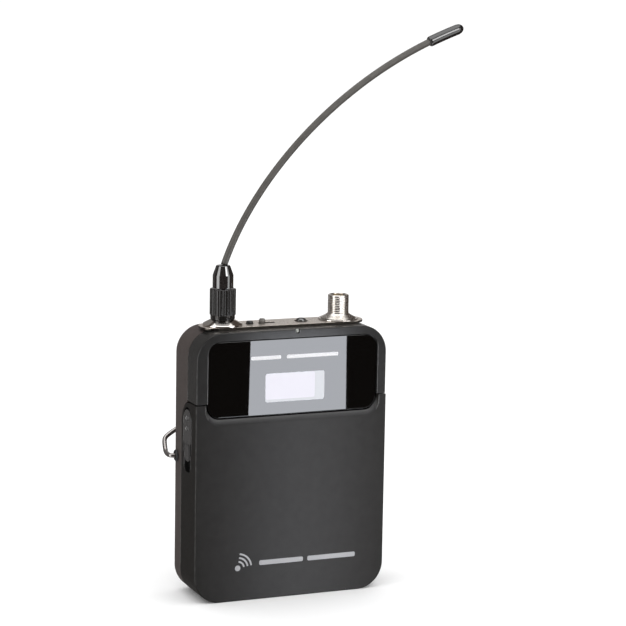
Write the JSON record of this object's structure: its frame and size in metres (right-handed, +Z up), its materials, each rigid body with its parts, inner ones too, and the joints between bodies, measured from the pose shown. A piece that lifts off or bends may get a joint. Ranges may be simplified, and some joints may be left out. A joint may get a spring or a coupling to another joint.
{
  "type": "wireless bodypack transmitter",
  "caption": "Flat belt-worn radio microphone transmitter with a sprung whip antenna, threaded jack, display window, hinged battery cover and wire belt clip.",
  "frame": {"origin": "centre of the case's bottom face", "axes": "+Z up towards the antenna and jack, -Y out of the display and battery cover, +Y out of the rear face with the belt clip, +X to the right of the display"},
  "size_m": [0.1004, 0.0301, 0.1881],
  "materials": {
    "case_plastic": "satin moulded plastic",
    "cover_plastic": "soft-touch satin plastic",
    "black_plastic": "semi-matt black plastic",
    "window_gloss": "polished black",
    "display_glass": "pale display under a clear cover",
    "lens_plastic": "clear lens",
    "plate_metal": "fine brushed",
    "chrome_plate": "nickel-chrome plated",
    "steel": "drawn wire and screw steel",
    "whip_rubber": "matt sheath",
    "tip_gloss": "glossy moulded",
    "contact_metal": "nickel-plated sheet",
    "gold": "gold-plated",
    "board": "solder mask",
    "cell": "printed cell wrap",
    "button_grey": "moulded grey"
  },
  "bodies": {
    "case": {"rear_shell": "case_plastic", "front_housing": "case_plastic", "window_panel": "window_gloss", "display_module": "display_glass", "indicator_lens": "lens_plastic", "top_plate": "plate_metal", "antenna_collar": "chrome_plate", "antenna_socket": "chrome_plate", "antenna_sleeve": "tip_gloss", "antenna_whip": "whip_rubber", "antenna_tip": "tip_gloss", "jack_flange": "chrome_plate", "jack_barrel": "chrome_plate", "jack_insert": "black_plastic", "jack_pin_1": "gold", "jack_pin_2": "gold", "jack_pin_3": "gold", "jack_pin_4": "gold", "hinge_pin": "steel", "battery_tray": "black_plastic", "cell_1": "cell", "cell_2": "cell", "contact_spring_1": "contact_metal", "contact_spring_2": "contact_metal", "contact_plate_1": "contact_metal", "contact_plate_2": "contact_metal", "main_board": "board", "rf_shield": "contact_metal", "control_board": "board", "case_screw_1": "steel", "case_screw_2": "steel", "case_screw_3": "steel", "case_screw_4": "steel", "clip_boss_left": "black_plastic", "clip_boss_right": "black_plastic"},
    "battery_cover": {"battery_cover": "cover_plastic"},
    "latch_left": {"latch_left": "black_plastic"},
    "latch_right": {"latch_right": "black_plastic"},
    "power_button": {"power_button": "black_plastic"},
    "function_button": {"function_button": "black_plastic"},
    "slide_switch": {"slide_switch": "button_grey"},
    "set_button": {"set_button": "button_grey"},
    "up_button": {"up_button": "button_grey"},
    "down_button": {"down_button": "button_grey"},
    "belt_clip": {"belt_clip_wire": "steel"},
    "antenna_nut": {"antenna_nut": "black_plastic"}
  },
  "joints": [
    {"name": "cover_hinge", "type": "hinge", "parent": "case", "child": "battery_cover", "pos_m": [0, 0.0032, 0.0023], "axis": [1, 0, 0], "range_deg": [0, 85]},
    {"name": "latch_left_slide", "type": "slide", "parent": "battery_cover", "child": "latch_left", "axis": [0, 0, -1], "range_m": [0, 0.003], "stiffness_N_per_m": 300},
    {"name": "latch_right_slide", "type": "slide", "parent": "battery_cover", "child": "latch_right", "axis": [0, 0, -1], "range_m": [0, 0.003], "stiffness_N_per_m": 300},
    {"name": "power_press", "type": "slide", "parent": "case", "child": "power_button", "axis": [0, 0, -1], "range_m": [0, 0.0005], "stiffness_N_per_m": 400},
    {"name": "function_press", "type": "slide", "parent": "case", "child": "function_button", "axis": [0, 0, -1], "range_m": [0, 0.0005], "stiffness_N_per_m": 400},
    {"name": "switch_slide", "type": "slide", "parent": "case", "child": "slide_switch", "axis": [1, 0, 0], "range_m": [0, 0.0034]},
    {"name": "set_press", "type": "slide", "parent": "case", "child": "set_button", "axis": [0, 1, 0], "range_m": [0, 0.0004], "stiffness_N_per_m": 400},
    {"name": "up_press", "type": "slide", "parent": "case", "child": "up_button", "axis": [0, 1, 0], "range_m": [0, 0.0004], "stiffness_N_per_m": 400},
    {"name": "down_press", "type": "slide", "parent": "case", "child": "down_button", "axis": [0, 1, 0], "range_m": [0, 0.0004], "stiffness_N_per_m": 400},
    {"name": "clip_swing", "type": "hinge", "parent": "case", "child": "belt_clip", "pos_m": [0, 0.008, 0.0462], "axis": [1, 0, 0], "range_deg": [0, 20], "stiffness_Nm_per_rad": 1.2},
    {"name": "antenna_nut_turn", "type": "hinge", "parent": "case", "child": "antenna_nut", "pos_m": [-0.0207, 0, 0.0985], "axis": [0, 0, 1], "continuous": true}
  ]
}
